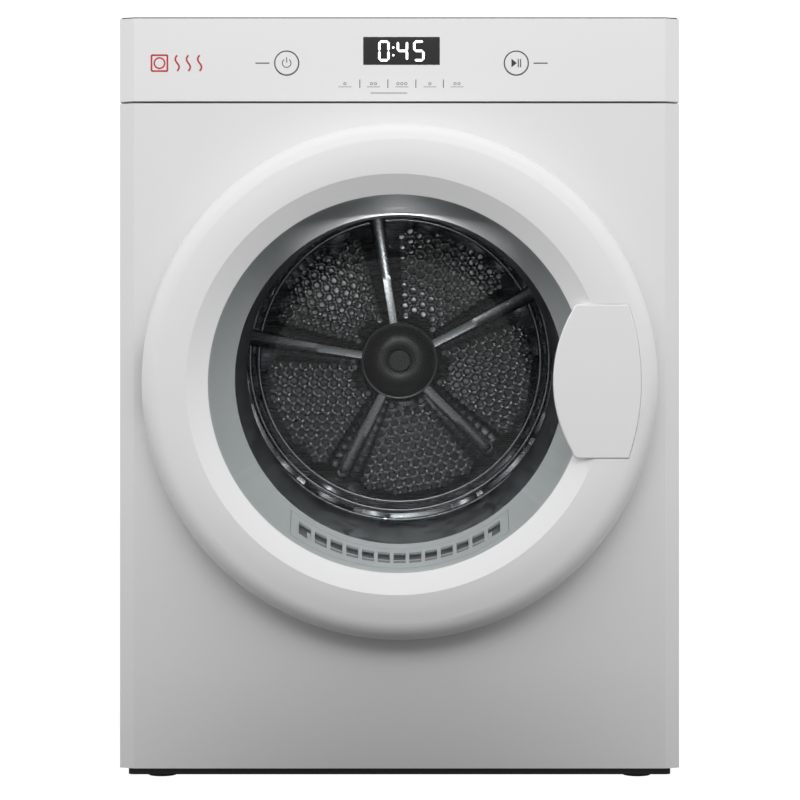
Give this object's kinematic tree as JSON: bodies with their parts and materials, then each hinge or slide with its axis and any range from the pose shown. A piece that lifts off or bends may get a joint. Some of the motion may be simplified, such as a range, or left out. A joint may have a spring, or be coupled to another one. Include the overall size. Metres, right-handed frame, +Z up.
{
  "type": "tumble dryer",
  "caption": "Front-loading vented clothes dryer with a round glazed door, perforated drum, control panel, lint filter and rear exhaust spigot.",
  "frame": {"origin": "on the floor under the middle of the machine's box", "axes": "+Z up, +Y from the door to the back, +X to the right of a person facing the door"},
  "size_m": [0.6, 0.58, 0.8184],
  "materials": {
    "white_enamel": "satin enamel",
    "white_moulding": "moulded, satin gloss",
    "white_laminate": "laminate",
    "grey_moulding": "moulded",
    "black_moulding": "moulded",
    "black_window": "polished",
    "circuit_board": "lacquered",
    "zinc_sheet": "galvanised",
    "screw_steel": "plated",
    "lamp_lens": "clear",
    "felt": "pressed felt",
    "sintered_bronze": "sintered",
    "heater_steel": "heat blued",
    "motor_paint": "painted",
    "belt_rubber": "ribbed",
    "can_aluminium": "drawn",
    "door_glass": "clear",
    "seal_rubber": "soft",
    "drum_steel": "pressed and galvanised"
  },
  "bodies": {
    "cabinet": {"base_pan": "black_moulding", "front_panel": "white_enamel", "control_fascia": "white_moulding", "display_window": "black_window", "control_board": "circuit_board", "left_side_panel": "white_enamel", "right_side_panel": "white_enamel", "rear_panel": "zinc_sheet", "cabinet_screws": "screw_steel", "worktop": "white_laminate", "worktop_edge_trim": "black_moulding", "cable_gland": "black_moulding", "opening_collar": "grey_moulding", "drum_lamp": "lamp_lens", "front_bulkhead": "zinc_sheet", "front_felt_seal": "felt", "lint_duct": "grey_moulding", "door_catch": "black_moulding", "hinge_bracket": "zinc_sheet", "rear_bulkhead": "zinc_sheet", "rear_felt_seal": "felt", "rear_bearing": "sintered_bronze", "heater_duct": "zinc_sheet", "heater_element": "heater_steel", "thermostats": "black_moulding", "motor_body": "motor_paint", "motor_bracket": "zinc_sheet", "drive_belt": "belt_rubber", "run_capacitor": "can_aluminium", "roller_axles": "screw_steel", "blower_housing": "grey_moulding", "exhaust_duct": "grey_moulding"},
    "door": {"door_ring": "white_moulding", "door_glass": "door_glass", "door_liner": "grey_moulding", "door_screws": "screw_steel", "door_seal": "seal_rubber", "door_handle": "white_moulding", "door_strike": "screw_steel", "hinge_leaf": "zinc_sheet", "hinge_pin": "screw_steel"},
    "drum": {"drum_shell": "drum_steel", "drum_back": "drum_steel", "hub_cover": "black_moulding", "drum_lifters": "grey_moulding", "drum_shaft": "screw_steel"},
    "motor_rotor": {"motor_shaft": "screw_steel", "motor_pulley": "screw_steel", "blower_wheel": "grey_moulding"},
    "idler_lever": {"idler_arm": "zinc_sheet"},
    "idler_wheel": {"idler_pulley": "black_moulding"},
    "left_roller": {"drum_roller_left": "black_moulding"},
    "right_roller": {"drum_roller_right": "black_moulding"},
    "filter": {"lint_filter": "grey_moulding"},
    "power_key": {"power_button": "white_moulding"},
    "start_key": {"start_button": "white_moulding"},
    "foot_front_left": {"levelling_foot_front_left": "black_moulding"},
    "foot_front_right": {"levelling_foot_front_right": "black_moulding"},
    "foot_rear_left": {"levelling_foot_rear_left": "black_moulding"},
    "foot_rear_right": {"levelling_foot_rear_right": "black_moulding"}
  },
  "joints": [
    {"name": "door_hinge", "type": "hinge", "parent": "cabinet", "child": "door", "pos_m": [-0.246, -0.2796, 0.428], "axis": [0, 0, -1], "range_deg": [0, 110]},
    {"name": "drum_spin", "type": "hinge", "parent": "cabinet", "child": "drum", "pos_m": [0, 0, 0.458], "axis": [0, 1, 0], "continuous": true},
    {"name": "motor_spin", "type": "hinge", "parent": "cabinet", "child": "motor_rotor", "pos_m": [0.15, 0, 0.115], "axis": [0, 1, 0], "continuous": true},
    {"name": "idler_swing", "type": "hinge", "parent": "cabinet", "child": "idler_lever", "pos_m": [0.04135, 0, 0.06115], "axis": [0, 1, 0], "range_deg": [-20, 0], "stiffness_Nm_per_rad": 2, "springref_deg": 20.05},
    {"name": "idler_spin", "type": "hinge", "parent": "idler_lever", "child": "idler_wheel", "pos_m": [0.04135, 0, 0.12315], "axis": [0, 1, 0], "continuous": true},
    {"name": "left_roller_spin", "type": "hinge", "parent": "cabinet", "child": "left_roller", "pos_m": [-0.21234, 0, 0.24566], "axis": [0, 1, 0], "continuous": true},
    {"name": "right_roller_spin", "type": "hinge", "parent": "cabinet", "child": "right_roller", "pos_m": [0.21234, 0, 0.24566], "axis": [0, 1, 0], "continuous": true},
    {"name": "filter_lift", "type": "slide", "parent": "cabinet", "child": "filter", "axis": [0, 0, 1], "range_m": [0, 0.005]},
    {"name": "power_press", "type": "slide", "parent": "cabinet", "child": "power_key", "axis": [0, 1, 0], "range_m": [0, 0.0015], "stiffness_N_per_m": 800, "springref_m": -0.001},
    {"name": "start_press", "type": "slide", "parent": "cabinet", "child": "start_key", "axis": [0, 1, 0], "range_m": [0, 0.0015], "stiffness_N_per_m": 800, "springref_m": -0.001},
    {"name": "foot_front_left_screw", "type": "slide", "parent": "cabinet", "child": "foot_front_left", "axis": [0, 0, -1], "range_m": [-0.0015, 0.015]},
    {"name": "foot_front_right_screw", "type": "slide", "parent": "cabinet", "child": "foot_front_right", "axis": [0, 0, -1], "range_m": [-0.0015, 0.015]},
    {"name": "foot_rear_left_screw", "type": "slide", "parent": "cabinet", "child": "foot_rear_left", "axis": [0, 0, -1], "range_m": [-0.0015, 0.015]},
    {"name": "foot_rear_right_screw", "type": "slide", "parent": "cabinet", "child": "foot_rear_right", "axis": [0, 0, -1], "range_m": [-0.0015, 0.015]}
  ],
  "couplings": [
    {"joint": "motor_spin", "follows": "drum_spin", "ratio": 35},
    {"joint": "idler_spin", "follows": "drum_spin", "ratio": -15.556},
    {"joint": "left_roller_spin", "follows": "drum_spin", "ratio": -14},
    {"joint": "right_roller_spin", "follows": "drum_spin", "ratio": -14}
  ]
}
